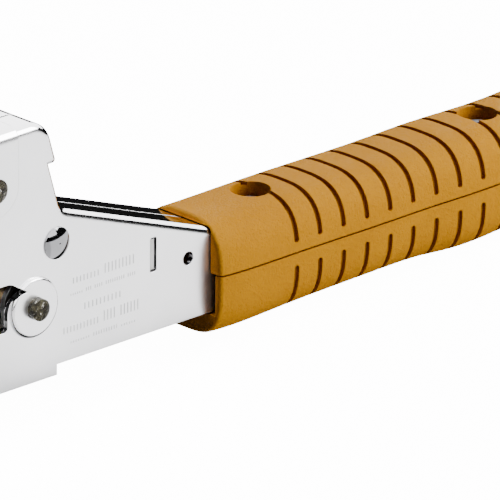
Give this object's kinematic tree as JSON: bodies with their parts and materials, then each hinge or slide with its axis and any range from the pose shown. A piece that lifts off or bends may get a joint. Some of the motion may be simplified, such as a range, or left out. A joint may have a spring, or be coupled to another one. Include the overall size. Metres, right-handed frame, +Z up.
{
  "type": "hammer tacker",
  "caption": "Hammer tacker with a pressed steel head, a sprung magazine that swings up on impact, and a ribbed amber plastic grip.",
  "frame": {"origin": "centre of the staple's exit in the nose's striking face, on the plane that the nose and the butt stand on", "axes": "+X from the nose towards the butt of the grip, along the plane the tool stands on; +Y across the head, towards the side away from the viewer of the near shell; +Z up, out of the work"},
  "size_m": [0.3224, 0.0344, 0.0885],
  "materials": {
    "polished_steel": "polished plate with fine handling marks",
    "plated_steel": "zinc plated",
    "hardened_steel": "ground and oiled",
    "dark_steel": "peened, dark oxide",
    "bronze": "sintered, oiled",
    "black_rubber": "moulded",
    "amber_plastic": "moulded, semi-gloss"
  },
  "bodies": {
    "housing": {"left_shell": "polished_steel", "right_shell": "polished_steel", "saddle_strap": "polished_steel", "saddle_rivet": "dark_steel", "neck_rivet": "polished_steel", "neck_spacer": "plated_steel", "pivot_pin": "dark_steel", "driver_block": "plated_steel", "driver_rivets": "plated_steel", "driver_blade": "hardened_steel", "blade_screws": "hardened_steel", "bumper": "black_rubber", "bumper_plate": "plated_steel", "spring_seat": "plated_steel", "return_spring": "hardened_steel", "stop_pin": "plated_steel", "neck_brace": "plated_steel", "grip_upper": "amber_plastic", "grip_lower": "amber_plastic", "grip_screws": "hardened_steel"},
    "magazine": {"magazine_channel": "plated_steel", "staple_rail": "plated_steel", "nose_block": "hardened_steel", "guide_bracket": "plated_steel", "nose_rivets": "plated_steel", "pivot_bracket": "plated_steel", "pivot_bushing": "bronze", "spring_cup": "plated_steel"},
    "loader": {"end_plug": "plated_steel", "guide_rod": "hardened_steel"},
    "pusher": {"pusher": "plated_steel", "pusher_spring": "hardened_steel"}
  },
  "joints": [
    {"name": "magazine_swing", "type": "hinge", "parent": "housing", "child": "magazine", "pos_m": [0.0918, 0, 0.03285], "axis": [0, 1, 0], "range_deg": [0, 8], "stiffness_Nm_per_rad": 6, "springref_deg": -22.92, "deforming": ["return_spring"]},
    {"name": "loader_slide", "type": "slide", "parent": "magazine", "child": "loader", "axis": [0.9939, 0, 0.1106], "range_m": [0, 0.05]},
    {"name": "pusher_slide", "type": "slide", "parent": "loader", "child": "pusher", "axis": [0.9939, 0, 0.1106], "range_m": [0, 0.045], "stiffness_N_per_m": 60, "springref_m": -0.05, "deforming": ["pusher_spring"]}
  ]
}
